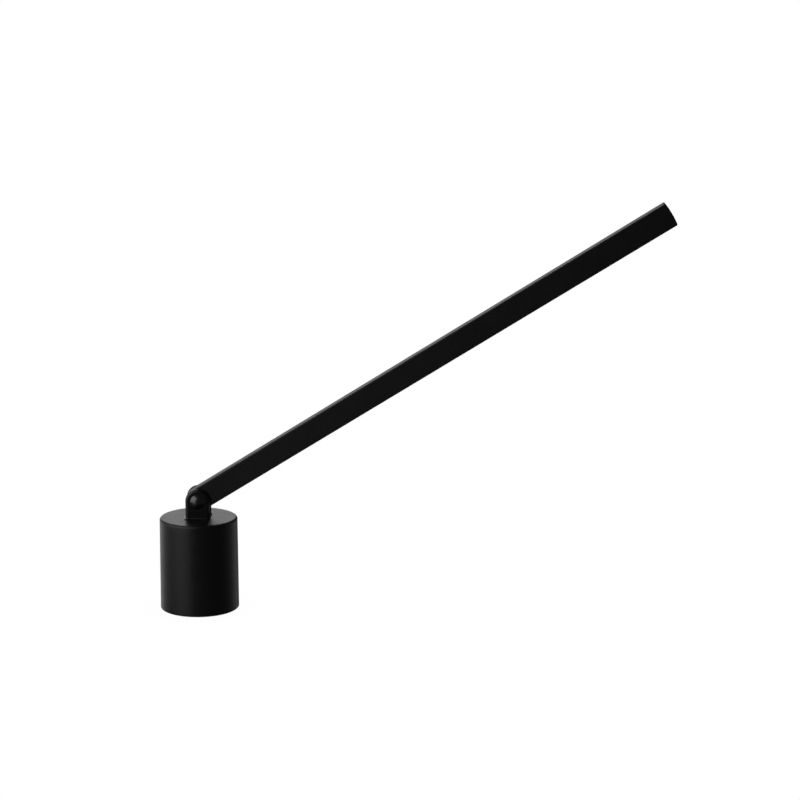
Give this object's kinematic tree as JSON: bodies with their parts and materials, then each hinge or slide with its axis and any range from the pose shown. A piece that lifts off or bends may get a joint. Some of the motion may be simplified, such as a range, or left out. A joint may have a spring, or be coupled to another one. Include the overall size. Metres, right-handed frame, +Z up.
{
  "type": "candle snuffer",
  "caption": "Candle snuffer: a small round cup, open at the bottom, hinged by a yoke and a domed pivot rivet to the end of a long flat handle bar.",
  "frame": {"origin": "centre of the cup's mouth, on the plane of its rim", "axes": "+Z up the axis of the cup, which hangs plumb; +X towards the side where the handle rises; Y along the hinge pin"},
  "size_m": [0.1666, 0.0256, 0.1338],
  "materials": {
    "handle_coat": "satin black powder coat on a steel flat bar",
    "cup_coat": "satin black powder coat, fine grain",
    "hinge_coat": "satin black coat, slightly smoother on the rivet's domes",
    "fastener_zinc": "dull zinc plating"
  },
  "bodies": {
    "handle": {"handle_bar": "handle_coat"},
    "cup": {"snuffer_cup": "cup_coat", "yoke": "hinge_coat", "pivot_rivet": "hinge_coat", "yoke_screw": "fastener_zinc", "lock_washer": "fastener_zinc"}
  },
  "joints": [
    {"name": "cup_swing", "type": "hinge", "parent": "handle", "child": "cup", "pos_m": [0, 0, 0.0364], "axis": [0, 1, 0], "range_deg": [-40.7, 157.1]}
  ]
}
